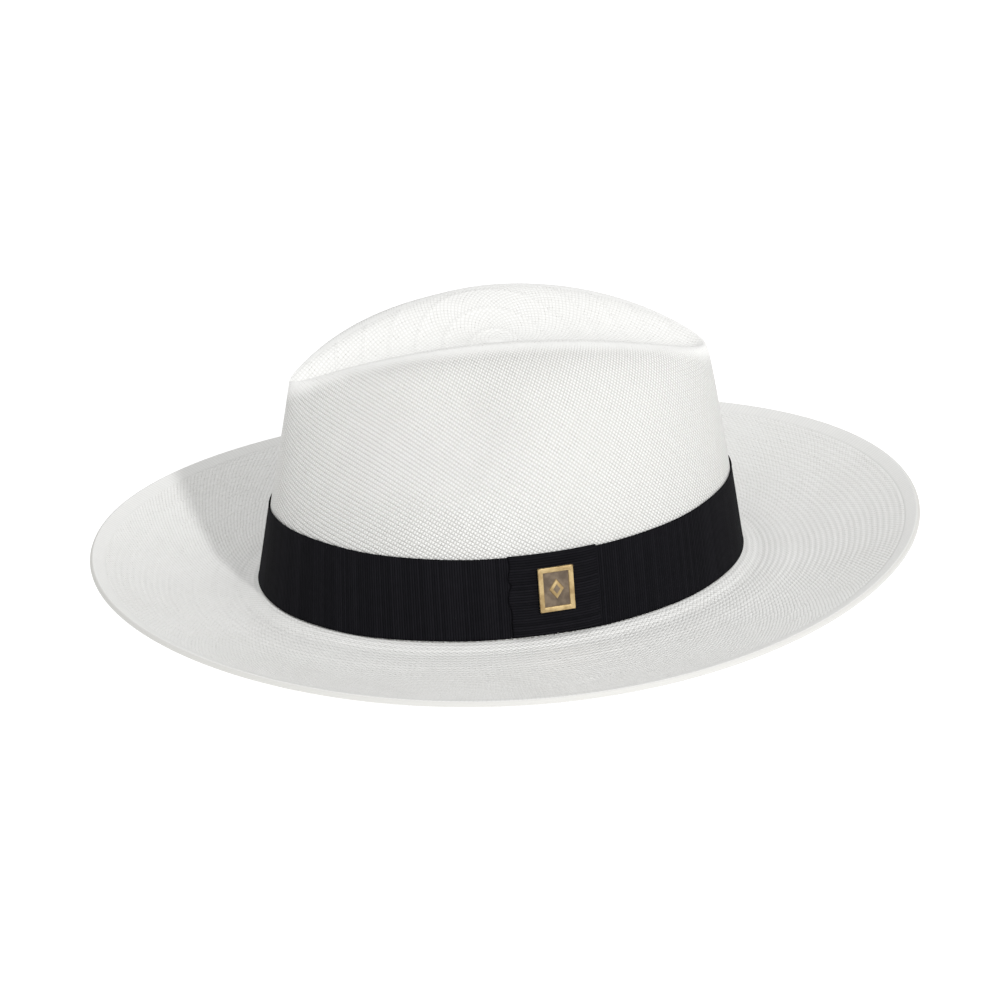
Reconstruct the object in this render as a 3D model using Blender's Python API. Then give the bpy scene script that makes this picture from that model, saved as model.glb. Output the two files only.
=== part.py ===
"""Panama hat: a woven straw body with its ribbon band, badge and sweatband.

Metres, +Z up. The hat rests on the flat ring of its brim at Z = 0. Its front faces -Y and the wearer's left
side, with the knot of the ribbon, faces +X. A size that differs round the hat is a (front, side, back) triple.
"""

from functools import partial
from math import acos, asin, cos, exp, hypot, pi, radians, sin

import bmesh
import bpy
from mathutils import Matrix, Vector

MM = 0.001
GAP = 0.3 * MM  # clearance between pieces that touch
SIDES = 64  # facets round the hat
CORD_SIDES = 6
CREASE_ANGLE = radians(40)  # faces that meet at more than this are shaded with a sharp edge

# Straw body: the foot of the crown is an oval
FOOT_LENGTH = 204 * MM
FOOT_WIDTH = 169 * MM
STRAW = 1.2 * MM  # thickness of the weave
FOOT_HEIGHT = 3.2 * MM  # top of the brim where the crown starts
FOOT_FILLET = 0.4 * MM
# The crest is the closed teardrop line along the top of both ridges, measured from the middle of the foot
CREST_FRONT = 83 * MM
CREST_BACK = 90 * MM
CREST_HALF_WIDTH = (19 * MM, 35 * MM, 36 * MM)
CREST_HEIGHT = (90 * MM, 108.2 * MM, 86.5 * MM)  # above the foot
CROWN_TAPER = (0.95, 0.14, 0.75)  # how much of the way in to the crest the wall leans as it rises
CROWN_ROUNDING = (5.0, 2.1, 4.0)  # 2 is a round shoulder, 4 a tight one
DENT_DEPTH = 12 * MM
# Side pinches: one dent on each side of the crown, sharper behind than in front
PINCH_DEPTH = 9 * MM
PINCH_ANGLE = radians(75)
PINCH_SPREAD_FRONT = radians(34)
PINCH_SPREAD_BACK = radians(13)
PINCH_LEVEL = 0.78
PINCH_LEVEL_SPREAD = 0.18
# Brim: a shallow dish with its hem turned under
BRIM_WIDTH = (69 * MM, 76.5 * MM, 74 * MM)
BRIM_EDGE_HEIGHT = (20.5 * MM, 11.5 * MM, 20 * MM)
REST_START = 9 * MM  # the ring that the hat rests on, measured out from the foot of the crown
REST_WIDTH = 13 * MM
BRIM_CURL = 1.6  # how much the rise gathers towards the edge
HEM_WIDTH = 6 * MM
HEM_STEP = 0.8 * MM  # run over which the turned-under layer starts
HEM_SEAM = 4.2 * MM  # from the edge in to the thread that holds the hem
# Ribbon band and its knot
RIBBON_WIDTH = 33.5 * MM
RIBBON_THICKNESS = 0.5 * MM
RIBBON_ROWS = 3
KNOT_ANGLE = radians(94.4)
KNOT_WIDTH = 37 * MM
KNOT_THICKNESS = 0.5 * MM
# Badge on the knot, with two prongs clinched through a washer
BADGE_WIDTH = 14.5 * MM
BADGE_HEIGHT = 18.3 * MM
BADGE_THICKNESS = 1.3 * MM
BADGE_BORDER = 1.3 * MM
BADGE_RECESS = 0.5 * MM
BADGE_RAISE = 3 * MM  # badge above the middle of the ribbon
BADGE_LOZENGE = 3.4 * MM  # half width of the raised lozenge
BADGE_LOZENGE_TOP = 0.8  # its top, as a share of its foot
BADGE_INSET = 0.05 * MM  # lozenge below the face of the border
PRONG_WIDTH = 2 * MM
PRONG_THICKNESS = 0.5 * MM
PRONG_SPACING = 10 * MM
WASHER_THICKNESS = 0.3 * MM
WASHER_MARGIN = 1.2 * MM  # washer beyond its prongs
# Sweatband inside the foot of the crown, with a reed sewn into its lower edge
SWEATBAND_WIDTH = 33 * MM
SWEATBAND_THICKNESS = 0.9 * MM
SEAM_SLIT = 0.8 * MM  # between the butted ends of a band
REED_RADIUS = 0.6 * MM
REED_COVER = 0.35 * MM
FLANGE_HEIGHT = 6 * MM
THREAD_RADIUS = 0.3 * MM
STITCH_HEIGHT = 2 * MM  # thread above the sweatband's lower edge
TAPE_THICKNESS = 0.4 * MM
TAPE_WIDTH = 14 * MM
TAPE_HEIGHT = 20 * MM
LABEL_WIDTH = 24 * MM
LABEL_HEIGHT = 12 * MM
LABEL_ANGLE = radians(207)
LABEL_DROP = 5 * MM  # label below the sweatband's upper edge

# Where the rings of facets lie: from the middle of the top to the crest, and from there down to the ribbon
DENT_RINGS = (0.16, 0.34, 0.52, 0.7, 0.86, 1.0)
SHOULDER_RINGS = (0.16, 0.3, 0.44, 0.58, 0.72, 0.86, 1.0)
SLOPE_RINGS = (0.3, 0.6)  # between the ring that the hat rests on and the hem

BACK = pi
REST_END = REST_START + REST_WIDTH
LAST_REST = REST_END - MM  # the last ring of facets that lies flat
FOOT_MIDDLE = (BRIM_WIDTH[0] - BRIM_WIDTH[2]) / 2  # puts the middle of the whole brim at the origin
CREST_MIDDLE = FOOT_MIDDLE + (CREST_BACK - CREST_FRONT) / 2
CREST_REACH = (CREST_BACK + CREST_FRONT) / 2
FOOT_TOP = FOOT_HEIGHT + FOOT_FILLET  # the wall starts above the fillet
RIBBON_BOTTOM = FOOT_TOP + GAP
RIBBON_TOP = RIBBON_BOTTOM + RIBBON_WIDTH
RIBBON_INNER = GAP
RIBBON_OUTER = RIBBON_INNER + RIBBON_THICKNESS
WASHER_INNER = RIBBON_OUTER + GAP
WASHER_OUTER = WASHER_INNER + WASHER_THICKNESS
KNOT_INNER = WASHER_OUTER + GAP
KNOT_OUTER = KNOT_INNER + KNOT_THICKNESS
COVER_OUTER = -STRAW - GAP
REED_OFFSET = COVER_OUTER - REED_COVER - GAP / 2
COVER_INNER = REED_OFFSET - GAP / 2 - REED_COVER
COVER_RADIUS = REED_RADIUS + GAP + REED_COVER
REED_HEIGHT = COVER_RADIUS + GAP
SWEATBAND_OUTER = COVER_INNER - GAP
SWEATBAND_INNER = SWEATBAND_OUTER - SWEATBAND_THICKNESS
SWEATBAND_BOTTOM = max(FOOT_TOP, REED_HEIGHT + COVER_RADIUS + GAP)
SWEATBAND_TOP = SWEATBAND_BOTTOM + SWEATBAND_WIDTH


def around(sizes, angle):
    """The smooth curve through a front, side and back size: 0 is the front and pi the back."""
    front, side, back = sizes
    mean = (front + back) / 4 + side / 2
    return mean + (front - back) / 2 * cos(angle) + ((front + back) / 4 - side / 2) * cos(2 * angle)


def out_of(angle):
    """The level direction square to the foot oval."""
    return Vector((FOOT_LENGTH * sin(angle), -FOOT_WIDTH * cos(angle), 0)).normalized()


def foot(angle, offset=0.0):
    """A point of the foot oval, moved out square to it."""
    place = Vector((FOOT_WIDTH / 2 * sin(angle), FOOT_MIDDLE - FOOT_LENGTH / 2 * cos(angle), 0))
    return place + out_of(angle) * offset


def crest(angle):
    """A point of the crest line along the tops of the ridges."""
    wide = around(CREST_HALF_WIDTH, angle) * sin(angle)
    long = CREST_MIDDLE - CREST_REACH * cos(angle)
    return Vector((wide, long, FOOT_HEIGHT + around(CREST_HEIGHT, angle)))


def pinch(angle, level):
    """How far the side pinch pushes the wall in."""
    turn = abs((angle + pi) % (2 * pi) - pi) - PINCH_ANGLE
    spread = PINCH_SPREAD_FRONT if turn < 0 else PINCH_SPREAD_BACK
    fade = (turn / spread) ** 2 + ((level - PINCH_LEVEL) / PINCH_LEVEL_SPREAD) ** 2
    return PINCH_DEPTH * exp(-fade)


def wall(angle, height, offset=0.0):
    """A point of the crown's wall at a height, moved out square to the foot oval."""
    top = crest(angle)
    level = min(max((height - FOOT_HEIGHT) / (top.z - FOOT_HEIGHT), 0.0), 1.0)
    power = around(CROWN_ROUNDING, angle)
    inward = (1 - level**power) ** (1 / power) * (1 - around(CROWN_TAPER, angle) * level)
    place = Vector((top.x, top.y, 0)).lerp(foot(angle), inward)
    place += out_of(angle) * (offset - pinch(angle, level))
    return Vector((place.x, place.y, height))


def dent(angle, share):
    """A point of the top: share 0 is its middle and 1 the crest."""
    rim = crest(angle)
    x, y = rim.x * share, CREST_MIDDLE + (rim.y - CREST_MIDDLE) * share
    turn = acos(min(max((CREST_MIDDLE - y) / CREST_REACH, -1.0), 1.0))
    half = max(around(CREST_HALF_WIDTH, turn) * sin(turn), MM)
    across = min((x / half) ** 2, 1.0)
    top = FOOT_HEIGHT + around(CREST_HEIGHT, turn)
    return Vector((x, y, top - DENT_DEPTH * sin(turn) * (1 - across) ** 2))


def brim(angle, reach):
    """A point of the brim's top, reach out from the foot of the crown."""
    width = around(BRIM_WIDTH, angle)
    if reach < REST_START:
        height = STRAW + (FOOT_HEIGHT - STRAW) * (1 + cos(pi * reach / REST_START)) / 2
    elif reach < REST_END:
        height = STRAW
    else:
        rise = ((reach - REST_END) / (width - REST_END)) ** BRIM_CURL
        height = STRAW + (around(BRIM_EDGE_HEIGHT, angle) - STRAW) * rise
    place = foot(angle, reach)
    return Vector((place.x, place.y, height))


def surface(angle, zone, share):
    """A point of the straw body's outside, by zone from the middle of the top to the brim's edge."""
    if zone == "dent":
        return dent(angle, share)
    if zone == "shoulder":
        turn = share * pi / 2
        top = crest(angle).z
        return wall(angle, RIBBON_TOP + (top - RIBBON_TOP) * cos(turn))
    if zone == "band":
        return wall(angle, RIBBON_TOP + (FOOT_TOP - RIBBON_TOP) * share)
    if zone == "fillet":
        turn = share * pi / 2
        place = wall(angle, FOOT_TOP, FOOT_FILLET * (1 - cos(turn)))
        return Vector((place.x, place.y, FOOT_TOP - FOOT_FILLET * sin(turn)))
    return brim(angle, FOOT_FILLET + (around(BRIM_WIDTH, angle) - FOOT_FILLET) * share)


def frame_at(angle, zone, share):
    """The outside's point there, with its directions round the hat, outward from the top, and out of the straw."""
    step = 1e-4
    low, high = max(share - step, 1e-3), min(share + step, 1.0)
    round_hat = surface(angle + step, zone, share) - surface(angle - step, zone, share)
    outward = surface(angle, zone, high) - surface(angle, zone, low)
    return surface(angle, zone, share), outward.normalized(), outward.cross(round_hat).normalized()


def turns():
    """The angles of the hat's facets."""
    return [2 * pi * i / SIDES for i in range(SIDES)]


def arc(start, stop):
    """The angles from start to stop that keep to the hat's facets in between."""
    step = 2 * pi / SIDES
    between = [i * step for i in range(2 * SIDES) if start + step / 9 < i * step < stop - step / 9]
    return [start, *between, stop]


def half_turn(width, angle):
    """Half the angle that a width takes up round the foot of the crown."""
    return width / hypot(FOOT_WIDTH * cos(angle), FOOT_LENGTH * sin(angle))


def material(name, colour, roughness, metallic=0.0):
    made = bpy.data.materials.new(name)
    made.use_nodes = True
    shader = made.node_tree.nodes["Principled BSDF"]
    shader.inputs["Base Color"].default_value = (*colour, 1)
    shader.inputs["Roughness"].default_value = roughness
    shader.inputs["Metallic"].default_value = metallic
    return made


def finish(name, mesh, finish_material, collection, place=None):
    """Closes a bmesh into a named object with its faces outward."""
    bmesh.ops.recalc_face_normals(mesh, faces=mesh.faces)
    data = bpy.data.meshes.new(name)
    mesh.to_mesh(data)
    mesh.free()
    made = bpy.data.objects.new(name, data)
    data.materials.append(finish_material)
    collection.objects.link(made)
    if place is not None:
        made.matrix_world = place
    return made


def loft(name, rings, finish_material, joined=False, poles=False):
    """A solid through rings of points: joined end to end, or capped at both ends, with a pole on each if asked."""
    mesh = bmesh.new()
    rows = [[mesh.verts.new(point) for point in ring] for ring in rings]
    pairs = list(zip(rows, rows[1:])) + ([(rows[-1], rows[0])] if joined else [])
    for first, second in pairs:
        for i in range(len(first)):
            mesh.faces.new((first[i - 1], first[i], second[i], second[i - 1]))
    if not joined:
        caps = [mesh.faces.new(rows[0]), mesh.faces.new(rows[-1])]
        if poles:
            bmesh.ops.poke(mesh, faces=caps)
    made = finish(name, mesh, finish_material, PARTS)
    made.data.shade_smooth()
    made.data.set_sharp_from_angle(angle=CREASE_ANGLE)
    return made


def strip(name, inner, outer, bottom, top, angles, finish_material, rows=RIBBON_ROWS, joined=False):
    """A flat band that follows the crown's wall between two offsets and two heights."""
    heights = [bottom + (top - bottom) * i / rows for i in range(rows + 1)]
    section = [(inner, z) for z in heights] + [(outer, z) for z in reversed(heights)]
    rings = [[wall(angle, z, offset) for offset, z in section] for angle in angles]
    return loft(name, rings, finish_material, joined)


def cut(target, cutter, operation="DIFFERENCE"):
    cutter.hide_render = True
    cutter.display_type = "WIRE"
    change = target.modifiers.new(cutter.name, "BOOLEAN")
    change.object = cutter
    change.operation = operation
    change.solver = "EXACT"


def box(name, size, centre, place, finish_material, collection):
    """A box of a size in metres, centred in the badge's own axes and put in place."""
    mesh = bmesh.new()
    bmesh.ops.create_cube(mesh, size=1.0)
    bmesh.ops.scale(mesh, vec=size, verts=mesh.verts)
    bmesh.ops.translate(mesh, vec=centre, verts=mesh.verts)
    return finish(name, mesh, finish_material, collection, place)


for old in list(bpy.data.objects):
    bpy.data.objects.remove(old)
PARTS = bpy.data.collections.new("panama_hat")
CUTTERS = bpy.data.collections.new("cutters")
bpy.context.scene.collection.children.link(PARTS)
bpy.context.scene.collection.children.link(CUTTERS)

straw = material("bleached_straw", (0.83, 0.82, 0.77), 0.6)
grosgrain = material("black_grosgrain", (0.008, 0.008, 0.01), 0.75)
brass = material("antique_brass", (0.46, 0.34, 0.15), 0.35, 1.0)
leather = material("tan_leather", (0.24, 0.11, 0.05), 0.5)
cover_cloth = material("cover_cloth", (0.05, 0.03, 0.02), 0.6)
reed_plastic = material("reed_plastic", (0.7, 0.7, 0.65), 0.4)
thread = material("ivory_thread", (0.75, 0.71, 0.6), 0.7)
satin = material("ivory_satin", (0.72, 0.68, 0.58), 0.4)


def rest_ring(reach, depth):
    """A ring where the brim lies level, or nearly so."""
    return [brim(angle, reach) - Vector((0, 0, depth)) for angle in turns()]


def slope_ring(reach_at, depth):
    """A ring on the rising part of the brim, sunk square into the straw. Its reach is worked out at each angle."""
    ring = []
    for angle in turns():
        share = (reach_at(angle) - FOOT_FILLET) / (around(BRIM_WIDTH, angle) - FOOT_FILLET)
        point, _, normal = frame_at(angle, "brim", share)
        ring.append(point - normal * depth)
    return ring


def edge(angle):
    return around(BRIM_WIDTH, angle)


def hem_start(angle):
    return edge(angle) - HEM_WIDTH


def single_end(angle):
    """Where the single layer under the brim ends and the turned-under layer starts to lie on it."""
    return hem_start(angle) - HEM_STEP


def slope_reach(share, angle):
    return LAST_REST + (single_end(angle) - LAST_REST) * share


def straw_rings():
    """Rings from the middle of the top out to the edge, round the hem and back along the inside."""
    stations = [("dent", share) for share in DENT_RINGS] + [("shoulder", share) for share in SHOULDER_RINGS]
    stations += [("band", row / RIBBON_ROWS) for row in range(1, RIBBON_ROWS + 1)]
    stations += [("fillet", 0.5), ("fillet", 1.0)]
    outside, inside = [], []
    for zone, share in stations:
        spots = [frame_at(angle, zone, share) for angle in turns()]
        outside.append([point for point, _, _ in spots])
        inside.append([point - normal * STRAW for point, _, normal in spots])
    for reach in (REST_START / 2, REST_START + 2 * MM, LAST_REST):
        outside.append(rest_ring(reach, 0))
        inside.append(rest_ring(reach, STRAW))
    for share in SLOPE_RINGS:
        reach_at = partial(slope_reach, share)
        outside.append(slope_ring(reach_at, 0))
        inside.append(slope_ring(reach_at, STRAW))
    outside += [slope_ring(hem_start, 0), slope_ring(edge, 0)]
    inside += [slope_ring(single_end, STRAW), slope_ring(hem_start, 2 * STRAW), slope_ring(edge, 2 * STRAW)]
    return outside + inside[::-1]


loft("straw_body", straw_rings(), straw, poles=True)


def cord_ring(name, seat, radius, finish_material):
    """A round cord right round the hat. The seat gives its middle and two directions square to it."""
    rings = []
    for angle in turns():
        middle, first, second = seat(angle)
        corners = [2 * pi * i / CORD_SIDES for i in range(CORD_SIDES)]
        rings.append([middle + (first * cos(c) + second * sin(c)) * radius for c in corners])
    loft(name, rings, finish_material, joined=True)


def hem_seat(angle):
    """Under the hem, at the middle of its turned-under layer."""
    share = (edge(angle) - HEM_SEAM - FOOT_FILLET) / (edge(angle) - FOOT_FILLET)
    point, outward, normal = frame_at(angle, "brim", share)
    return point - normal * (2 * STRAW + GAP + THREAD_RADIUS), outward, normal


def reed_seat(angle):
    return wall(angle, REED_HEIGHT, REED_OFFSET), out_of(angle), Vector((0, 0, 1))


def stitch_seat(angle):
    place = wall(angle, SWEATBAND_BOTTOM + STITCH_HEIGHT, SWEATBAND_INNER - GAP - THREAD_RADIUS)
    return place, out_of(angle), Vector((0, 0, 1))


cord_ring("brim_hem_thread", hem_seat, THREAD_RADIUS, thread)

# The ribbon goes once round the crown, and its two ends meet under the knot
ribbon_end = half_turn(SEAM_SLIT, KNOT_ANGLE)
ribbon_arc = arc(KNOT_ANGLE + ribbon_end, KNOT_ANGLE + 2 * pi - ribbon_end)
strip("hatband_ribbon", RIBBON_INNER, RIBBON_OUTER, RIBBON_BOTTOM, RIBBON_TOP, ribbon_arc, grosgrain)

# The knot is a length of the same ribbon, hooked over the upper edge of the joint and glued down its front
knot_half = half_turn(KNOT_WIDTH, KNOT_ANGLE)
knot_low, knot_high = RIBBON_BOTTOM, RIBBON_TOP + GAP
knot_rows = [knot_low + (knot_high - knot_low) * i / RIBBON_ROWS for i in range(RIBBON_ROWS + 1)]
knot_section = [(KNOT_OUTER, z) for z in knot_rows]
knot_section += [(KNOT_OUTER, knot_high + KNOT_THICKNESS), (RIBBON_INNER, knot_high + KNOT_THICKNESS)]
knot_section += [(RIBBON_INNER, knot_high)] + [(KNOT_INNER, z) for z in reversed(knot_rows)]
knot_arc = arc(KNOT_ANGLE - knot_half, KNOT_ANGLE + knot_half)
knot_rings = [[wall(angle, z, offset) for offset, z in knot_section] for angle in knot_arc]
knot = loft("hatband_knot", knot_rings, grosgrain)

# The washer lies behind the knot, and the badge's prongs pass through both
badge_middle = (RIBBON_BOTTOM + RIBBON_TOP) / 2 + BADGE_RAISE
washer_half = half_turn(PRONG_WIDTH + 2 * WASHER_MARGIN, KNOT_ANGLE)
washer_reach = PRONG_SPACING / 2 + WASHER_MARGIN
washer = strip(
    "badge_washer",
    WASHER_INNER,
    WASHER_OUTER,
    badge_middle - washer_reach,
    badge_middle + washer_reach,
    arc(KNOT_ANGLE - washer_half, KNOT_ANGLE + washer_half),
    brass,
)
badge_back = wall(KNOT_ANGLE, badge_middle, KNOT_OUTER + GAP)
up_wall = (wall(KNOT_ANGLE, knot_high) - wall(KNOT_ANGLE, knot_low)).normalized()
round_wall = (wall(KNOT_ANGLE + knot_half, badge_middle) - wall(KNOT_ANGLE - knot_half, badge_middle)).normalized()
badge_axes = Matrix((round_wall, up_wall, round_wall.cross(up_wall))).transposed().to_4x4()
badge_place = Matrix.Translation(badge_back) @ badge_axes

badge_size = (BADGE_WIDTH, BADGE_HEIGHT, BADGE_THICKNESS)
badge = box("badge_plate", badge_size, (0, 0, BADGE_THICKNESS / 2), badge_place, brass, PARTS)
recess_size = (BADGE_WIDTH - 2 * BADGE_BORDER, BADGE_HEIGHT - 2 * BADGE_BORDER, 2 * BADGE_RECESS)
cut(badge, box("badge_recess", recess_size, (0, 0, BADGE_THICKNESS), badge_place, brass, CUTTERS))
lozenge_mesh = bmesh.new()
lozenge_height = BADGE_THICKNESS - 2 * BADGE_INSET
bmesh.ops.create_cone(
    lozenge_mesh,
    cap_ends=True,
    segments=4,
    radius1=BADGE_LOZENGE,
    radius2=BADGE_LOZENGE * BADGE_LOZENGE_TOP,
    depth=lozenge_height,
)
bmesh.ops.translate(lozenge_mesh, vec=(0, 0, BADGE_THICKNESS / 2), verts=lozenge_mesh.verts)
cut(badge, finish("badge_lozenge", lozenge_mesh, brass, CUTTERS, badge_place), "UNION")
prong_length = KNOT_OUTER + GAP - WASHER_INNER
for side in (-1, 1):
    level = side * PRONG_SPACING / 2
    prong_size = (PRONG_WIDTH, PRONG_THICKNESS, prong_length + BADGE_THICKNESS / 2)
    prong_middle = (0, level, BADGE_THICKNESS / 2 - prong_size[2] / 2)
    cut(badge, box(f"prong_{side + 1}", prong_size, prong_middle, badge_place, brass, CUTTERS), "UNION")
    slot_size = (PRONG_WIDTH + 2 * GAP, PRONG_THICKNESS + 2 * GAP, 2 * prong_length)
    slot = box(f"slot_{side + 1}", slot_size, (0, level, -prong_length / 2), badge_place, brass, CUTTERS)
    cut(knot, slot)
    cut(washer, slot)

# Sweatband: a strip butted at the back, with a reed in a folded cover behind its lower edge
band_end = half_turn(SEAM_SLIT, BACK)
band_arc = arc(BACK + band_end, BACK + 2 * pi - band_end)
strip("sweatband", SWEATBAND_INNER, SWEATBAND_OUTER, SWEATBAND_BOTTOM, SWEATBAND_TOP, band_arc, leather)
cord_ring("sweatband_reed", reed_seat, REED_RADIUS, reed_plastic)
cord_ring("sweatband_stitching", stitch_seat, THREAD_RADIUS, thread)


def fold(radius, half_opening, top):
    """One face of the cover: down its flange, round the reed and up the other flange, as offsets and heights."""
    gap_angle = asin(half_opening / radius)
    count = 5
    sweep = [pi / 2 - gap_angle - (2 * pi - 2 * gap_angle) * i / count for i in range(count + 1)]
    round_reed = [(REED_OFFSET + radius * cos(a), REED_HEIGHT + radius * sin(a)) for a in sweep]
    return [(REED_OFFSET + half_opening, top), *round_reed, (REED_OFFSET - half_opening, top)]


cover_top = SWEATBAND_BOTTOM + FLANGE_HEIGHT
cover_section = fold(COVER_RADIUS, GAP / 2 + REED_COVER, cover_top)
cover_section += fold(REED_RADIUS + GAP, GAP / 2, cover_top)[::-1]
cover_rings = [[wall(angle, z, offset) for offset, z in cover_section] for angle in turns()]
loft("sweatband_reed_cover", cover_rings, cover_cloth, joined=True)

# A tape joins the sweatband's ends, and a blank size label is sewn beside it
tape_outer = SWEATBAND_INNER - GAP
tape_half = half_turn(TAPE_WIDTH, BACK)
tape_middle = (SWEATBAND_BOTTOM + SWEATBAND_TOP) / 2
strip(
    "sweatband_seam_tape",
    tape_outer - TAPE_THICKNESS,
    tape_outer,
    tape_middle - TAPE_HEIGHT / 2,
    tape_middle + TAPE_HEIGHT / 2,
    arc(BACK - tape_half, BACK + tape_half),
    satin,
)
label_half = half_turn(LABEL_WIDTH, LABEL_ANGLE)
label_top = SWEATBAND_TOP - LABEL_DROP
strip(
    "size_label",
    tape_outer - TAPE_THICKNESS,
    tape_outer,
    label_top - LABEL_HEIGHT,
    label_top,
    arc(LABEL_ANGLE - label_half, LABEL_ANGLE + label_half),
    satin,
)
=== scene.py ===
from math import acos, asin, atan2, cos, exp, hypot, pi, radians, sin, tau

import bmesh
import bpy
from mathutils import Matrix, Vector


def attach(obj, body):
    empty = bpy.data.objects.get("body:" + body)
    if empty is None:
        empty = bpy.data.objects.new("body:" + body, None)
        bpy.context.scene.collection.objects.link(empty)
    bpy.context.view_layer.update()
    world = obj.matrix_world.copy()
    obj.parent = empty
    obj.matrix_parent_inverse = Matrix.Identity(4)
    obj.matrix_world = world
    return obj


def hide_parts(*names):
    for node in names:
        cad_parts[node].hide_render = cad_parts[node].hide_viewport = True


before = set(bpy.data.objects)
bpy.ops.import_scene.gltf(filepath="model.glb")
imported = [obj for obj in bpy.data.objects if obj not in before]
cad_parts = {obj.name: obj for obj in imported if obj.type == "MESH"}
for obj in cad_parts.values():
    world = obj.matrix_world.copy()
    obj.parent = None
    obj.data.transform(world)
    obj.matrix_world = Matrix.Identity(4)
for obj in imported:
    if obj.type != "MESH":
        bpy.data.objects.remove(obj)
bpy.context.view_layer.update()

# Straw crown. The top and side of one woven body of bleached palm straw. Two families of flat strands cross
# under and over each other, in rings on the top and as one lattice down the side. The body is blocked to
# shape, with a long dent between two ridges and a pinch in each side.
MM = 0.001
GAP = 0.3 * MM
FOOT_LENGTH = 204 * MM
FOOT_WIDTH = 169 * MM
STRAW = 1.2 * MM
FOOT_HEIGHT = 3.2 * MM
FOOT_FILLET = 0.4 * MM
CREST_FRONT = 83 * MM
CREST_BACK = 90 * MM
CREST_HALF_WIDTH = (19 * MM, 35 * MM, 36 * MM)  # at the front, the side and the back, as in every triple
CREST_HEIGHT = (90 * MM, 108.2 * MM, 86.5 * MM)
CROWN_TAPER = (0.95, 0.14, 0.75)
CROWN_ROUNDING = (5.0, 2.1, 4.0)
DENT_DEPTH = 12 * MM
PINCH_DEPTH = 9 * MM
PINCH_ANGLE = radians(75)
PINCH_SPREAD_FRONT = radians(34)
PINCH_SPREAD_BACK = radians(13)
PINCH_LEVEL = 0.78
PINCH_LEVEL_SPREAD = 0.18
BRIM_WIDTH = (69 * MM, 76.5 * MM, 74 * MM)
RIBBON_WIDTH = 33.5 * MM
FOOT_MIDDLE = (BRIM_WIDTH[0] - BRIM_WIDTH[2]) / 2
CREST_MIDDLE = FOOT_MIDDLE + (CREST_BACK - CREST_FRONT) / 2
CREST_REACH = (CREST_BACK + CREST_FRONT) / 2
FOOT_TOP = FOOT_HEIGHT + FOOT_FILLET
RIBBON_BOTTOM = FOOT_TOP + GAP
RIBBON_TOP = RIBBON_BOTTOM + RIBBON_WIDTH
CROWN_TURNS = 360  # facets round the crown
DENT_RINGS = 22
SHOULDER_RINGS = 34
BAND_RINGS = 4
STRAND = 1.45 * MM  # from the middle of one strand to the next
CROSSING = STRAND * 2**0.5  # the same, measured round a ring that the strands cross at 45 degrees
LATTICE = (344, 210)  # strands of each family round the side of the crown
LATTICE_SLOPES = (57, 31)  # how steeply each family climbs, in degrees
TOP_RING = 11 * MM  # strands are added at each ring of the top
SIDE_RELIEF = 0.4 * MM
SIDE_CREASE_SHADES = (0.5, 0.72)  # painted shade: how dark the lines between the rows of each family are
TOP_RELIEF = 0.15 * MM
# painted shade in the lines between the rows of the top, for each family
TOP_CREASE_SHADES = (0.25, 0.25)
TOP_RIDGE = 0.9  # share of the relief
PINHOLE_CORNER = (0.17, 0.235)  # a gap between strands is this far from the middles of both, as a product
PINHOLE_CHANCE = (0.56, 0.68)
STRAW_ROUGHNESS = 0.55
STRAW_SPECULAR = 0.35
STRAW_PALE = (0.88, 0.88, 0.865)
STRAW_DULL = (0.83, 0.828, 0.81)
# painted shade in the lines between the rows of strands, where they dip under each other
STRAW_CREASE_SHADE = (0.56, 0.55, 0.52)
# painted shade seen in the gaps between strands
STRAW_PINHOLE_SHADE = (0.2, 0.18, 0.14)


def around(sizes, angle):
    """The smooth curve through a front, side and back size: 0 is the front and pi the back."""
    front, side, back = sizes
    mean = (front + back) / 4 + side / 2
    return mean + (front - back) / 2 * cos(angle) + ((front + back) / 4 - side / 2) * cos(2 * angle)


def out_of(angle):
    """The level direction square to the foot oval."""
    return Vector((FOOT_LENGTH * sin(angle), -FOOT_WIDTH * cos(angle), 0)).normalized()


def foot(angle, offset=0.0):
    """A point of the foot oval, moved out square to it."""
    place = Vector((FOOT_WIDTH / 2 * sin(angle), FOOT_MIDDLE - FOOT_LENGTH / 2 * cos(angle), 0))
    return place + out_of(angle) * offset


def crest(angle):
    """A point of the crest line along the tops of the ridges."""
    wide = around(CREST_HALF_WIDTH, angle) * sin(angle)
    long = CREST_MIDDLE - CREST_REACH * cos(angle)
    return Vector((wide, long, FOOT_HEIGHT + around(CREST_HEIGHT, angle)))


def pinch(angle, level):
    """How far the side pinch pushes the wall in."""
    turn = abs((angle + pi) % tau - pi) - PINCH_ANGLE
    spread = PINCH_SPREAD_FRONT if turn < 0 else PINCH_SPREAD_BACK
    fade = (turn / spread) ** 2 + ((level - PINCH_LEVEL) / PINCH_LEVEL_SPREAD) ** 2
    return PINCH_DEPTH * exp(-fade)


def wall(angle, height, offset=0.0):
    """A point of the crown's wall at a height, moved out square to the foot oval."""
    top = crest(angle)
    level = min(max((height - FOOT_HEIGHT) / (top.z - FOOT_HEIGHT), 0.0), 1.0)
    power = around(CROWN_ROUNDING, angle)
    inward = (1 - level**power) ** (1 / power) * (1 - around(CROWN_TAPER, angle) * level)
    place = Vector((top.x, top.y, 0)).lerp(foot(angle), inward)
    place += out_of(angle) * (offset - pinch(angle, level))
    return Vector((place.x, place.y, height))


def dent(angle, share):
    """A point of the top: share 0 is its middle and 1 the crest."""
    rim = crest(angle)
    x = rim.x * share
    y = CREST_MIDDLE + (rim.y - CREST_MIDDLE) * share
    turn = acos(min(max((CREST_MIDDLE - y) / CREST_REACH, -1.0), 1.0))
    half = max(around(CREST_HALF_WIDTH, turn) * sin(turn), MM)
    across = min((x / half) ** 2, 1.0)
    top = FOOT_HEIGHT + around(CREST_HEIGHT, turn)
    return Vector((x, y, top - DENT_DEPTH * sin(turn) * (1 - across) ** 2))


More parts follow.
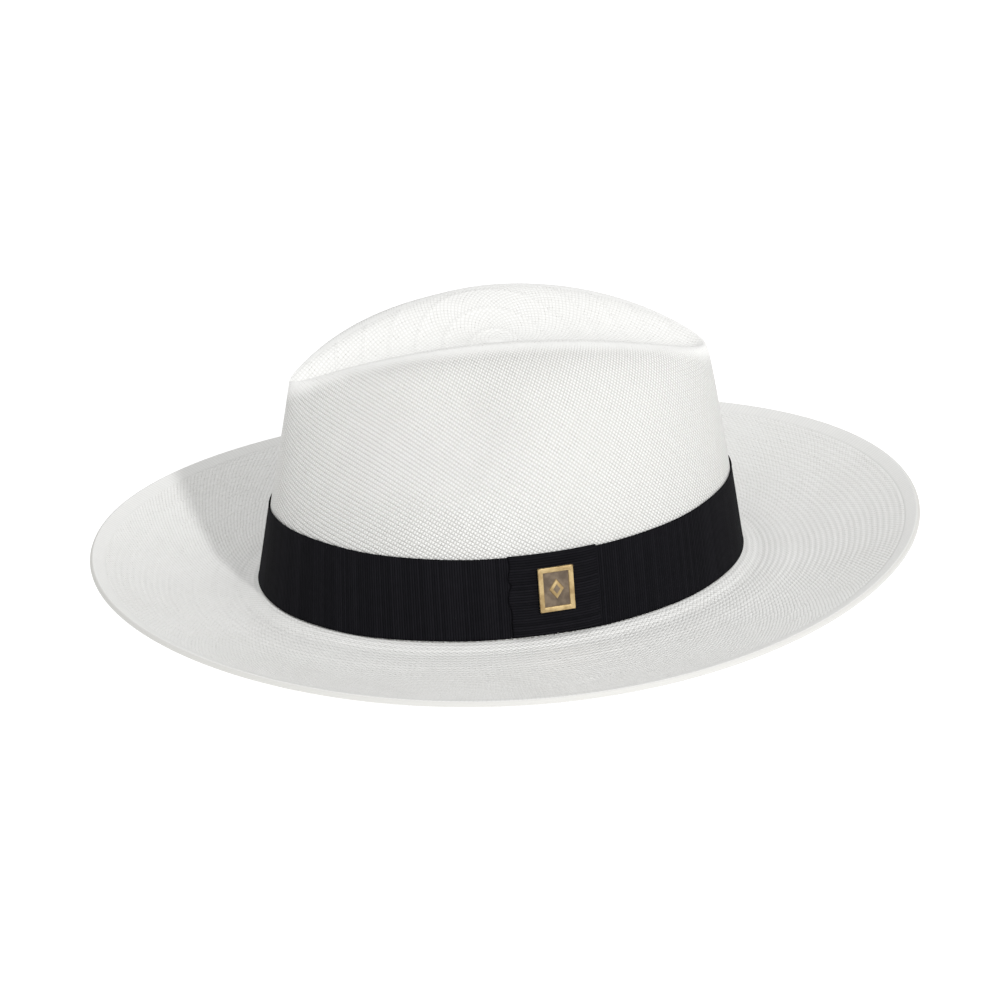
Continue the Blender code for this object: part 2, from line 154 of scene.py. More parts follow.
def shoulder(angle, share):
    """A point of the side between the crest and the ribbon's upper edge, gathered towards the crest."""
    return wall(angle, RIBBON_TOP + (crest(angle).z - RIBBON_TOP) * cos(share * pi / 2))


def ring_body(stations, count, closed=False):
    """A sheet or a closed tube right round the hat: a circle is extruded from one station to the next.

    A station gives the point for an angle and how far along the weave it lies, or None to carry on from
    the ring before. The map of the weave runs round the hat from the middle of the back, by the ring's own
    length, and along by that distance.
    """
    mesh = bmesh.new()
    turn = mesh.verts.layers.float.new("turn")
    share = mesh.verts.layers.float.new("share")
    along = mesh.verts.layers.float.new("along")
    ring = bmesh.ops.create_circle(mesh, segments=count, radius=1.0)["verts"]
    for vert in ring:
        vert[turn] = atan2(-vert.co.x, vert.co.y) % tau  # from the back
    edges = first_edges = mesh.edges[:]
    for number, station in enumerate(stations):
        last = ring
        if number:
            grown = bmesh.ops.extrude_edge_only(mesh, edges=edges)["geom"]
            ring = [part for part in grown if isinstance(part, bmesh.types.BMVert)]
            edges = [part for part in grown if isinstance(part, bmesh.types.BMEdge) and part.is_boundary]
        ring = sorted(ring, key=lambda vert: vert[turn])
        for vert, above in zip(ring, last):
            vert.co, distance = station((vert[turn] + pi) % tau)
            vert[along] = above[along] + (vert.co - above.co).length if distance is None else distance
        steps = [(vert.co - before.co).length for vert, before in zip(ring, ring[-1:] + ring[:-1])]
        travelled = 0.0
        for vert, step in zip(ring, [0.0, *steps[1:]]):
            travelled += step
            vert[share] = travelled / sum(steps)
    if closed:
        bmesh.ops.bridge_loops(mesh, edges=first_edges + edges)
    weave = mesh.loops.layers.uv.new("weave")
    for face in mesh.faces:
        shares = [loop.vert[share] for loop in face.loops]
        wraps = max(shares) - min(shares) > 0.5
        for loop in face.loops:
            past_seam = wraps and loop.vert[share] < 0.5
            loop[weave].uv = (loop.vert[share] + past_seam, loop.vert[along])
    return mesh


def finish_piece(name, mesh, materials, nodes, crease=40, turn_faces=True):
    """Turns a bmesh into a piece of the hat that rides on its body and stands for its CAD nodes.

    Edges that turn by more than the crease, in degrees, are shaded as hard edges. Faces are turned to point
    outwards, unless the shapes that the mesh is made of have them so already.
    """
    if turn_faces:
        bmesh.ops.recalc_face_normals(mesh, faces=mesh.faces)
    data = bpy.data.meshes.new(name)
    mesh.to_mesh(data)
    mesh.free()
    for layer in ("turn", "share", "along"):
        if layer in data.attributes:
            data.attributes.remove(data.attributes[layer])
    made = bpy.data.objects.new(name, data)
    bpy.context.scene.collection.objects.link(made)
    for material in materials:
        data.materials.append(material)
    data.shade_smooth()
    data.set_sharp_from_angle(angle=radians(crease))
    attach(made, "root")
    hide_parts(*nodes)
    return made


def thicken(piece, thickness, offset=-1.0):
    """Gives a sheet its thickness, behind its faces, or in front of them with an offset of 1."""
    solid = piece.modifiers.new("thickness", "SOLIDIFY")
    solid.thickness = thickness
    solid.offset = offset


def math_of(tree, operation, *values):
    """One math node over numbers and sockets."""
    made = tree.nodes.new("ShaderNodeMath")
    made.operation = operation
    for socket, value in zip(made.inputs, values):
        if isinstance(value, (int, float)):
            socket.default_value = value
        else:
            tree.links.new(value, socket)
    return made.outputs[0]


def plus(tree, first, second):
    return math_of(tree, "ADD", first, second)


def minus(tree, first, second):
    return math_of(tree, "SUBTRACT", first, second)


def times(tree, first, second):
    return math_of(tree, "MULTIPLY", first, second)


def either(tree, switch, when_off, when_on):
    """One value where the switch is 0 and the other where it is 1."""
    return plus(tree, times(tree, when_off, minus(tree, 1.0, switch)), times(tree, when_on, switch))


def fade_of(tree, value, low, high):
    """A smooth step of a socket from 0 at low to 1 at high."""
    made = tree.nodes.new("ShaderNodeMapRange")
    made.interpolation_type = "SMOOTHSTEP"
    made.inputs["From Min"].default_value = low
    made.inputs["From Max"].default_value = high
    tree.links.new(value, made.inputs["Value"])
    return made.outputs["Result"]


def blend_of(tree, factor, first, second):
    """A mix of two colours, each a triple or a socket."""
    made = tree.nodes.new("ShaderNodeMix")
    made.data_type = "RGBA"
    tree.links.new(factor, made.inputs["Factor"])
    for socket, value in ((made.inputs[6], first), (made.inputs[7], second)):
        if isinstance(value, tuple):
            socket.default_value = (*value, 1)
        else:
            tree.links.new(value, socket)
    return made.outputs[2]


def chance_of(tree, value):
    """A random number from 0 to 1 that stays the same for the same value."""
    made = tree.nodes.new("ShaderNodeTexWhiteNoise")
    made.noise_dimensions = "1D"
    tree.links.new(value, made.inputs["W"])
    return made.outputs["Value"]


def cloud_of(tree, scale, detail=2.0):
    """Soft noise on the piece's own coordinates."""
    where = tree.nodes.new("ShaderNodeTexCoord")
    made = tree.nodes.new("ShaderNodeTexNoise")
    made.inputs["Scale"].default_value = scale
    made.inputs["Detail"].default_value = detail
    tree.links.new(where.outputs["Object"], made.inputs["Vector"])
    return made.outputs["Fac"]


def map_of(tree):
    """The two directions of a piece's own map."""
    where = tree.nodes.new("ShaderNodeUVMap")
    where.uv_map = "weave"
    split = tree.nodes.new("ShaderNodeSeparateXYZ")
    tree.links.new(where.outputs["UV"], split.inputs["Vector"])
    return split.outputs["X"], split.outputs["Y"]


def surface_of(name, roughness, specular=0.5, metallic=0.0, sheen=0.0):
    """A material with its constants set, and its tree and shader to work on."""
    made = bpy.data.materials.new(name)
    made.use_nodes = True
    shader = made.node_tree.nodes["Principled BSDF"]
    shader.inputs["Roughness"].default_value = roughness
    shader.inputs["Specular IOR Level"].default_value = specular
    shader.inputs["Metallic"].default_value = metallic
    shader.inputs["Sheen Weight"].default_value = sheen
    return made, made.node_tree, shader


def paint(tree, shader, colour):
    """Feeds a colour into the shader."""
    tree.links.new(colour, shader.inputs["Base Color"])


def raise_of(tree, shader, height, distance, strength=1.0):
    """Feeds a height into the shader's normal."""
    bump = tree.nodes.new("ShaderNodeBump")
    bump.inputs["Distance"].default_value = distance
    bump.inputs["Strength"].default_value = strength
    tree.links.new(height, bump.inputs["Height"])
    tree.links.new(bump.outputs["Normal"], shader.inputs["Normal"])


def off_middle(tree, rows):
    """How far a point is from the middle of its row: 0 there, and a half at the edge of the row."""
    return math_of(tree, "ABSOLUTE", minus(tree, math_of(tree, "FRACT", rows), 0.5))


def plain_weave(name, strands, relief, crease_shades, rows=None):
    """Straw woven under one and over one, with painted shade between its rows and in its gaps.

    The strands function gives a point's place over the rows of each family, the number of rows in each, and
    how plainly the weave shows. The rows function gives a height to add to the weave's own.
    """
    made, tree, shader = surface_of(name, STRAW_ROUGHNESS, STRAW_SPECULAR)
    first, second, first_count, second_count, plainly = strands(tree)
    first_row = math_of(tree, "FLOOR", first)
    second_row = math_of(tree, "FLOOR", second)
    first_off = off_middle(tree, first)
    second_off = off_middle(tree, second)
    second_over = math_of(tree, "FLOORED_MODULO", plus(tree, first_row, second_row), 2.0)
    across = either(tree, second_over, first_off, second_off)
    along = either(tree, second_over, second_off, first_off)
    flat = minus(tree, 1.0, math_of(tree, "POWER", times(tree, across, 2.0), 5.0))
    arch = math_of(tree, "COSINE", times(tree, along, pi * 0.96))
    pillow = times(tree, times(tree, flat, arch), plainly)
    first_tint = chance_of(tree, math_of(tree, "FLOORED_MODULO", first_row, first_count))
    second_number = math_of(tree, "FLOORED_MODULO", second_row, second_count)
    second_tint = chance_of(tree, plus(tree, second_number, 0.37))  # so it isn't the first family's
    tint = either(tree, second_over, first_tint, second_tint)
    patch = fade_of(tree, cloud_of(tree, 24.0), 0.35, 0.75)
    strand = blend_of(tree, times(tree, plus(tree, tint, patch), 0.5), STRAW_PALE, STRAW_DULL)
    # Painted shade along the lines between the rows of each family, where the strands dip under each other.
    first_crease_shade = times(tree, fade_of(tree, first_off, 0.2, 0.5), crease_shades[0])
    second_crease_shade = times(tree, fade_of(tree, second_off, 0.25, 0.5), crease_shades[1])
    line = times(tree, math_of(tree, "MAXIMUM", first_crease_shade, second_crease_shade), plainly)
    # Painted shade in the gaps at the corners of the strands, at random spots.
    corner = fade_of(tree, times(tree, first_off, second_off), *PINHOLE_CORNER)
    loose = fade_of(tree, cloud_of(tree, 420.0, 0.0), *PINHOLE_CHANCE)
    crease_shaded = blend_of(tree, line, strand, STRAW_CREASE_SHADE)
    paint(tree, shader, blend_of(tree, times(tree, corner, loose), crease_shaded, STRAW_PINHOLE_SHADE))
    height = plus(tree, pillow, times(tree, tint, 0.25))
    if rows:
        height = plus(tree, height, rows(tree))
    raise_of(tree, shader, height, relief)
    return made


def side_strands(tree):
    """Two whole numbers of strands wind round the side, one climbing each way."""
    share, down = map_of(tree)
    turns = [times(tree, share, float(count)) for count in LATTICE]
    climbs = [times(tree, down, cos(radians(slope)) / STRAND) for slope in LATTICE_SLOPES]
    first = plus(tree, turns[0], climbs[0])
    second = minus(tree, turns[1], climbs[1])
    return first, second, float(LATTICE[0]), float(LATTICE[1]), fade_of(tree, down, 1 * MM, 10 * MM)


def top_place(tree):
    """Where a point lies from the rosette in the middle of the top, and how far that is."""
    where = tree.nodes.new("ShaderNodeTexCoord")
    split = tree.nodes.new("ShaderNodeSeparateXYZ")
    tree.links.new(where.outputs["Object"], split.inputs["Vector"])
    x = split.outputs["X"]
    y = minus(tree, split.outputs["Y"], CREST_MIDDLE)
    return x, y, math_of(tree, "SQRT", plus(tree, times(tree, x, x), times(tree, y, y)))


def top_strands(tree):
    """Rings round the rosette, each with an even number of strands more than the last."""
    x, y, reach = top_place(tree)
    ring = math_of(tree, "FLOOR", math_of(tree, "DIVIDE", reach, TOP_RING))
    middle = times(tree, plus(tree, ring, 0.5), TOP_RING)
    count = times(tree, math_of(tree, "FLOOR", times(tree, middle, pi / CROSSING)), 2.0)
    turned = plus(tree, math_of(tree, "DIVIDE", math_of(tree, "ARCTAN2", y, x), tau), 0.5)
    turns = times(tree, turned, count)
    out = math_of(tree, "DIVIDE", reach, CROSSING)
    plainly = fade_of(tree, reach, 1.5 * MM, 5 * MM)
    return plus(tree, turns, out), minus(tree, turns, out), count, count, plainly


def top_ridges(tree):
    """The slight ridge at each ring of the top, where strands are added."""
    reach = top_place(tree)[2]
    wave = math_of(tree, "COSINE", times(tree, reach, tau / TOP_RING))
    return times(tree, fade_of(tree, wave, 0.7, 1.0), TOP_RIDGE)


def crown_stations():
    """From near the middle of the top to the crest, down the side and behind the ribbon to the foot."""
    stations = []
    for step in range(1, DENT_RINGS + 1):
        share = step / DENT_RINGS
        stations.append(lambda angle, share=share: (dent(angle, share), (share - 1) * CREST_REACH))
    for step in range(1, SHOULDER_RINGS + 1):
        share = step / SHOULDER_RINGS
        stations.append(lambda angle, share=share: (shoulder(angle, share), None))
    for step in range(1, BAND_RINGS + 1):
        height = RIBBON_TOP + (FOOT_HEIGHT - RIBBON_TOP) * step / BAND_RINGS
        stations.append(lambda angle, height=height: (wall(angle, height), None))
    return stations


crown_mesh = ring_body(crown_stations(), CROWN_TURNS)
open_edges = [edge for edge in crown_mesh.edges if edge.is_boundary]
inner_ring = [edge for edge in open_edges if edge.verts[0].co.z > RIBBON_TOP]
cap = bmesh.ops.edgeloop_fill(crown_mesh, edges=inner_ring)["faces"]
bmesh.ops.poke(crown_mesh, faces=cap)
crown_map = crown_mesh.loops.layers.uv["weave"]
for face in crown_mesh.faces:
    on_top = all(loop[crown_map].uv.y <= 1e-6 for loop in face.loops)
    face.material_index = int(on_top)
straw_side = plain_weave("straw_side", side_strands, SIDE_RELIEF, SIDE_CREASE_SHADES)
straw_top = plain_weave("straw_top", top_strands, TOP_RELIEF, TOP_CREASE_SHADES, top_ridges)
crown = finish_piece("straw_crown", crown_mesh, [straw_side, straw_top], ["straw_body"])
thicken(crown, STRAW)

# Straw brim. The same woven body, flared out and pressed: strands are added ring by ring as it widens, which
# leaves fine rows round it. It lies flat near the crown and curls up to the edge.
BRIM_EDGE_HEIGHT = (20.5 * MM, 11.5 * MM, 20 * MM)
REST_START = 9 * MM
REST_WIDTH = 13 * MM
REST_END = REST_START + REST_WIDTH
BRIM_CURL = 1.6
BRIM_END = 1.5 * MM  # inside the hem's edge
HEM_WIDTH = 6 * MM
BRIM_TURNS = 360
BRIM_RINGS = 44
BRIM_RING = 9.5 * MM
BRIM_ROW = 2.4 * MM
BRIM_SPREAD = 1.1  # the strands lie this much further apart round the brim than on the top
BRIM_CLOSING = 0.8  # and this much closer outwards
BRIM_RELIEF = 0.17 * MM
# painted shade in the lines between the rows of each family on the brim
BRIM_CREASE_SHADES = (0.28, 0.1)
BRIM_ROW_HEIGHT = 0.4  # shares of the relief
BRIM_RIDGE = 0.3
FOOT_ROUND = 588 * MM  # length of the foot oval
SMALL_STEP = 0.1 * MM
SMALL_TURN = 1e-3


def brim(angle, reach):
    """A point of the brim's top, reach out from the foot of the crown."""
    if reach < REST_START:
        height = STRAW + (FOOT_HEIGHT - STRAW) * (1 + cos(pi * max(reach, 0) / REST_START)) / 2
    elif reach < REST_END:
        height = STRAW
    else:
        rise = ((reach - REST_END) / (around(BRIM_WIDTH, angle) - REST_END)) ** BRIM_CURL
        height = STRAW + (around(BRIM_EDGE_HEIGHT, angle) - STRAW) * rise
    place = foot(angle, reach)
    return Vector((place.x, place.y, height))


def brim_frame(angle, reach, depth=0.0):
    """A point sunk square into the brim, with the directions out along it and out of its top."""
    outward = (brim(angle, reach + SMALL_STEP) - brim(angle, reach - SMALL_STEP)).normalized()
    round_hat = (brim(angle + SMALL_TURN, reach) - brim(angle - SMALL_TURN, reach)).normalized()
    normal = round_hat.cross(outward)
    normal = normal if normal.z > 0 else -normal
    return brim(angle, reach) - normal * depth, outward, normal


def brim_strands(tree):
    """Rings of strands, each ring with an even number more than the last."""
    share, reach = map_of(tree)
    ring = math_of(tree, "FLOOR", math_of(tree, "DIVIDE", reach, BRIM_RING))
    middle = times(tree, plus(tree, ring, 0.5), BRIM_RING)
    length = plus(tree, times(tree, middle, tau), FOOT_ROUND)
    pairs = math_of(tree, "FLOOR", math_of(tree, "DIVIDE", length, CROSSING * BRIM_SPREAD * 2))
    count = times(tree, pairs, 2.0)
    turns = times(tree, share, count)
    out = math_of(tree, "DIVIDE", reach, CROSSING * BRIM_CLOSING)
    return plus(tree, turns, out), minus(tree, turns, out), count, count, 1.0


def brim_rows(tree):
    """Fine rows round the brim, and a slight ridge where strands are added."""
    reach = map_of(tree)[1]
    waver = times(tree, cloud_of(tree, 60.0), 1.6)
    row = math_of(tree, "SINE", plus(tree, times(tree, reach, tau / BRIM_ROW), waver))
    wave = math_of(tree, "COSINE", times(tree, reach, tau / BRIM_RING))
    ridge = times(tree, fade_of(tree, wave, 0.5, 1.0), BRIM_RIDGE)
    return plus(tree, times(tree, row, BRIM_ROW_HEIGHT), ridge)


def brim_station(share, depth):
    """One line round the brim, a share of the way out along it and sunk from its top."""
    def station(angle):
        reach = share * (around(BRIM_WIDTH, angle) - BRIM_END)
        return brim_frame(angle, reach, depth)[0], reach
    return station


shares = [step / BRIM_RINGS for step in range(BRIM_RINGS + 1)]
brim_top = [brim_station(share, 0.0) for share in shares]
brim_under = [brim_station(share, STRAW) for share in reversed(shares)]
brim_mesh = ring_body(brim_top + brim_under, BRIM_TURNS, closed=True)
straw_brim = plain_weave("straw_brim", brim_strands, BRIM_RELIEF, BRIM_CREASE_SHADES, brim_rows)
finish_piece("straw_brim", brim_mesh, [straw_brim], ["straw_body"])

# Straw hem. At the edge the weave is turned under and sewn down, so the brim ends in a double layer with a
# rounded edge. The ends of the strands run square to the edge here and show as fine ribs.
HEM_RIBS = 600
RIB_STEPS = 3  # facets to a rib
RIB_HEIGHT = 0.03 * MM
HEM_THICKNESS = 2 * STRAW
HEM_PROUD = 0.08 * MM
HEM_LINES = (5.6 * MM, 4.8 * MM, 3.6 * MM, 2.4 * MM, 1.2 * MM)  # in from the edge
HEM_ROUNDING = 0.7 * MM
HEM_ROUND_STEPS = 8
HEM_TUCK_OVER = HEM_PROUD + 0.2 * MM  # how far its ends are sunk into the brim
HEM_TUCK_UNDER = 0.5 * MM
HEM_COLOUR = (0.8, 0.8, 0.785)
# painted shade in the grooves between the ribs
HEM_GROOVE_SHADE = (0.73, 0.725, 0.705)
HEM_EDGE_SHADE = (0.63, 0.625, 0.6)  # painted shade on the outer face of the rounded edge


def hem_station(inward, depth, ribbed):
    """One line of the hem's section, given in from the edge and down from its top."""
    def station(angle):
        rib = RIB_HEIGHT * ribbed * abs(sin(HEM_RIBS * angle / 2))
        point, _, normal = brim_frame(angle, around(BRIM_WIDTH, angle) - max(inward, 0.0))
        point += normal * (HEM_PROUD - depth)
        lift = normal if depth < HEM_THICKNESS / 2 else -normal
        return point + lift * rib, inward
    return station


def hem_stations():
    """Over the top, round the edge, and back along the turned-under layer."""
    edge = HEM_THICKNESS / 2
    stations = [hem_station(HEM_WIDTH, HEM_TUCK_OVER, 0.0)]
    for inward in HEM_LINES:
        stations.append(hem_station(inward, 0.0, min(1.0, (HEM_WIDTH - inward) / HEM_LINES[-1])))
    for step in range(HEM_ROUND_STEPS + 1):
        turn = pi * step / HEM_ROUND_STEPS
        stations.append(hem_station(HEM_ROUNDING * (1 - sin(turn)), edge * (1 - cos(turn)), 0.6))
    for inward in reversed(HEM_LINES):
        stations.append(hem_station(inward, HEM_THICKNESS, 0.8))
    stations.append(hem_station(HEM_WIDTH, HEM_THICKNESS - HEM_TUCK_UNDER, 0.0))
    return stations


def ribs_of(tree, value, count):
    """Rounded ribs, a number of them to each unit: 0 in the grooves and 1 on top."""
    return math_of(tree, "ABSOLUTE", math_of(tree, "SINE", times(tree, value, pi * count)))


def hem_straw():
    """The ribbed ends of the strands, each of its own tint, with painted shade in the grooves and along the
    very edge.
    """
    made, tree, shader = surface_of("straw_hem", STRAW_ROUGHNESS, STRAW_SPECULAR)
    share, inward = map_of(tree)
    tint = chance_of(tree, math_of(tree, "FLOOR", times(tree, share, float(HEM_RIBS * 2))))
    colour = blend_of(tree, times(tree, tint, 0.6), HEM_COLOUR, STRAW_DULL)
    # Painted shade in the grooves between the ribs.
    colour = blend_of(tree, fade_of(tree, ribs_of(tree, share, HEM_RIBS), 0.0, 0.5), HEM_GROOVE_SHADE, colour)
    # Painted shade along the outer face of the rounded edge.
    colour = blend_of(tree, fade_of(tree, inward, 0.1 * MM, 0.6 * MM), HEM_EDGE_SHADE, colour)
    paint(tree, shader, colour)
    raise_of(tree, shader, cloud_of(tree, 900.0, 3.0), 0.1 * MM)
    return made


hem_mesh = ring_body(hem_stations(), HEM_RIBS * RIB_STEPS, closed=True)
finish_piece("straw_hem", hem_mesh, [hem_straw()], ["straw_body"])

# Hatband. A black grosgrain ribbon, a silk-like band with a close cross rib, drawn once round the foot of the
# crown. Its two ends meet under the knot on the wearer's left, and a few stitches hold it to the straw.
RIBBON_THICKNESS = 0.5 * MM
RIBBON_RIB = 1.05 * MM
RIBBON_YARN = 0.45 * MM
RIBBON_RELIEF = 0.28 * MM
RIBBON_COLUMNS = 360
RIBBON_ROWS = 24
RIBBON_INNER = GAP
RIBBON_OUTER = RIBBON_INNER + RIBBON_THICKNESS
SEAM_SLIT = 0.8 * MM
KNOT_ANGLE = radians(94.4)
SELVEDGE = 0.7 * MM
SELVEDGE_RAISE = 0.12 * MM
RIBBON_BLACK = (0.0055, 0.0055, 0.0068)
RIBBON_GREY = (0.013, 0.0125, 0.0155)
# painted shade in the grooves between the ribs
RIBBON_GROOVE_SHADE = (0.003, 0.003, 0.004)


def half_turn(width, angle):
    """Half the angle that a width takes up round the foot of the crown."""
    return width / hypot(FOOT_WIDTH * cos(angle), FOOT_LENGTH * sin(angle))


def strip_body(start, stop, columns, rows, place):
    """A sheet from one angle to another, with its map in metres along it and up it.

    Place gives the point for an angle and how far up the sheet it is, from 0 to 1.
    """
    mesh = bmesh.new()
    bmesh.ops.create_grid(mesh, x_segments=columns, y_segments=rows, size=0.5)
    weave = mesh.loops.layers.uv.new("weave")
    size = -2 * min(vert.co.x for vert in mesh.verts)
    spots = {vert: (vert.co.x / size + 0.5, vert.co.y / size + 0.5) for vert in mesh.verts}
    points = [place(start + (stop - start) * step / columns, 0.5) for step in range(columns + 1)]
    lengths = [0.0]
    for before, point in zip(points, points[1:]):
        lengths.append(lengths[-1] + (point - before).length)
    height = (place(start, 1.0) - place(start, 0.0)).length
    for vert, (across, up_it) in spots.items():
        vert.co = place(start + (stop - start) * across, up_it)
    for face in mesh.faces:
        for loop in face.loops:
            across, up_it = spots[loop.vert]
            loop[weave].uv = (lengths[round(across * columns)], up_it * height)
    return mesh


def ribbon_at(angle, up_it):
    """The ribbon's outer face, with a firm selvedge, and a slight wander where it was drawn tight by hand."""
    wander = 0.12 * MM * sin(5 * angle + 1) + 0.08 * MM * sin(13 * angle)
    edge = min(up_it, 1 - up_it) * RIBBON_WIDTH
    thick = SELVEDGE_RAISE * exp(-((edge / SELVEDGE) ** 2))
    return wall(angle, RIBBON_BOTTOM + RIBBON_WIDTH * up_it + wander, RIBBON_OUTER + thick)


def grosgrain(name, upright):
    """Black ribbon with its ribs across its length, which stand upright or lie level."""
    made, tree, shader = surface_of(name, 0.7, 0.03)
    along, up_it = map_of(tree)
    if not upright:
        along, up_it = up_it, along
    rib = ribs_of(tree, along, 1 / RIBBON_RIB)
    number = math_of(tree, "FLOOR", math_of(tree, "DIVIDE", along, RIBBON_RIB))
    yarn = math_of(tree, "SINE", times(tree, up_it, tau / RIBBON_YARN))
    tint = times(tree, plus(tree, chance_of(tree, number), cloud_of(tree, 300.0)), 0.5)
    body = blend_of(tree, tint, RIBBON_BLACK, RIBBON_GREY)
    # Painted shade in the grooves between the ribs.
    paint(tree, shader, blend_of(tree, fade_of(tree, rib, 0.0, 0.55), RIBBON_GROOVE_SHADE, body))
    raise_of(tree, shader, plus(tree, rib, times(tree, yarn, 0.12)), RIBBON_RELIEF, 0.9)
    return made


ribbon_end = half_turn(SEAM_SLIT, KNOT_ANGLE)
ribbon_start = KNOT_ANGLE + ribbon_end
ribbon_stop = KNOT_ANGLE + tau - ribbon_end
ribbon_mesh = strip_body(ribbon_start, ribbon_stop, RIBBON_COLUMNS, RIBBON_ROWS, ribbon_at)
upright_ribs = grosgrain("grosgrain_round", True)
ribbon = finish_piece("hatband_ribbon_cloth", ribbon_mesh, [upright_ribs], ["hatband_ribbon"])
thicken(ribbon, RIBBON_THICKNESS)

# Knot of the hatband. A short length of the same ribbon turned a quarter, so its ribs lie level. It is
# wrapped round the joint, hooked over the upper edge and pulled in at its sides, and its front edge buckles.
KNOT_WIDTH = 37 * MM
KNOT_THICKNESS = 0.5 * MM
KNOT_FACE = 2.2 * MM  # out from the straw in the middle, where the badge's washer lies behind it
KNOT_SIDE = 1.45 * MM  # at its front side, where it is pulled onto the ribbon
KNOT_BACK = 1.15 * MM  # at its back side, where it is pulled flat
KNOT_SLOPE = 0.35  # share of each half over which it drops to its side
KNOT_RAISE = 0.9 * MM
KNOT_LIP = 0.06  # share of the height that turns in over the ribbon's upper edge
KNOT_LIP_RISE = 0.5 * MM
KNOT_LIP_SINK = 0.2 * MM
KNOT_EDGE = 0.09  # share of the front half that buckles
KNOT_EDGE_LIFT = 0.25 * MM
KNOT_BUCKLE = 0.45 * MM
KNOT_NOTCH = 1.0 * MM  # a nick in the front edge
KNOT_NOTCH_LEVEL = 0.62
KNOT_NOTCH_SPREAD = 0.04
KNOT_HEIGHT = RIBBON_WIDTH - KNOT_RAISE
KNOT_COLUMNS = 72
KNOT_ROWS = 90


def knot_at(angle, up_it):
    """The knot's outer face. It rises from the foot to the upper edge and then turns in."""
    side = (angle - KNOT_ANGLE) / knot_half
    front = exp(-(((side + 1) / KNOT_EDGE) ** 2))
    buckle = KNOT_BUCKLE * front * (sin(9 * up_it) + 0.6 * sin(23 * up_it + 1))
    notch = KNOT_NOTCH * front * exp(-(((up_it - KNOT_NOTCH_LEVEL) / KNOT_NOTCH_SPREAD) ** 2))
    pulled = KNOT_SIDE if side < 0 else KNOT_BACK
    raised = min(max(1 - abs(side), 0.0) / KNOT_SLOPE, 1.0) ** 0.6
    face = pulled + (KNOT_FACE - pulled) * raised + KNOT_EDGE_LIFT * front
    turned = half_turn(2 * (buckle + notch), KNOT_ANGLE)
    lip = max(0.0, (up_it - 1 + KNOT_LIP) / KNOT_LIP)
    level = RIBBON_BOTTOM + KNOT_RAISE + KNOT_HEIGHT * min(up_it / (1 - KNOT_LIP), 1.0)
    out = RIBBON_OUTER + (face - RIBBON_OUTER) * cos(lip * pi / 2) - KNOT_LIP_SINK * lip
    return wall(angle + turned, level + KNOT_LIP_RISE * sin(lip * pi / 2), out)


knot_half = half_turn(KNOT_WIDTH, KNOT_ANGLE)
knot_front = KNOT_ANGLE - knot_half
knot_back = KNOT_ANGLE + knot_half
knot_mesh = strip_body(knot_front, knot_back, KNOT_COLUMNS, KNOT_ROWS, knot_at)
level_ribs = grosgrain("grosgrain_knot", False)
knot = finish_piece("hatband_knot_cloth", knot_mesh, [level_ribs], ["hatband_knot"])
thicken(knot, KNOT_THICKNESS)

# Badge. A small cast plate in antiqued brass with a raised border and lozenge, and dark patina left in the
# ground. Two prongs on its back pass through the knot and are clinched over a brass washer.
BADGE_WIDTH = 14.5 * MM
BADGE_HEIGHT = 18.3 * MM
BADGE_THICKNESS = 1.3 * MM
BADGE_BORDER = 1.9 * MM
BADGE_RECESS = 0.5 * MM
BADGE_RECESS_SLOPE = 0.15 * MM
BADGE_CORNER = 0.5 * MM
BADGE_RIM = 0.18 * MM
BADGE_RAISE = 3 * MM
BADGE_BACK = KNOT_FACE + GAP
BRIGHT = 0  # the plate's two finishes
DARK = 1
LOZENGE_LOWER = (3.4 * MM, 0.3 * MM, 1.25 * MM, BRIGHT)  # half its width, its foot, its top and its finish
LOZENGE_UPPER = (1.7 * MM, 1.0 * MM, 1.32 * MM, DARK)
LOZENGE_STRETCH = 1.35
LOZENGE_TAPER = 0.84
LOZENGE_EDGE = 0.12 * MM
PRONG = (2 * MM, 0.5 * MM, 1.7 * MM)
PRONG_SPACING = 10 * MM
PRONG_ROOT = 0.2 * MM  # how far it reaches into the plate
BRASS_BRIGHT = (0.62, 0.47, 0.24)
BRASS_WORN = (0.4, 0.28, 0.13)
PATINA_DARK = (0.11, 0.08, 0.055)
PATINA_LIGHT = (0.21, 0.16, 0.11)


def brass(name, first, second, roughness, metallic):
    """Cast metal: rubbed in soft patches, with tiny pits."""
    made, tree, shader = surface_of(name, roughness, 0.5, metallic)
    patch = fade_of(tree, cloud_of(tree, 260.0, 4.0), 0.35, 0.7)
    paint(tree, shader, blend_of(tree, patch, first, second))
    raise_of(tree, shader, cloud_of(tree, 1500.0, 5.0), 0.05 * MM, 0.6)
    return made


def round_off(mesh, edges, radius, segments):
    """Rounds some edges of a bmesh."""
    bmesh.ops.bevel(
        mesh, geom=edges, offset=radius, segments=segments, profile=0.5, affect="EDGES", material=-1
    )


def levels(edge):
    """How high the lower and the upper end of an edge are."""
    return sorted(vert.co.z for vert in edge.verts)


def refinish(node, material):
    """Gives a CAD node a finish."""
    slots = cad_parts[node].data.materials
    slots.clear()
    slots.append(material)


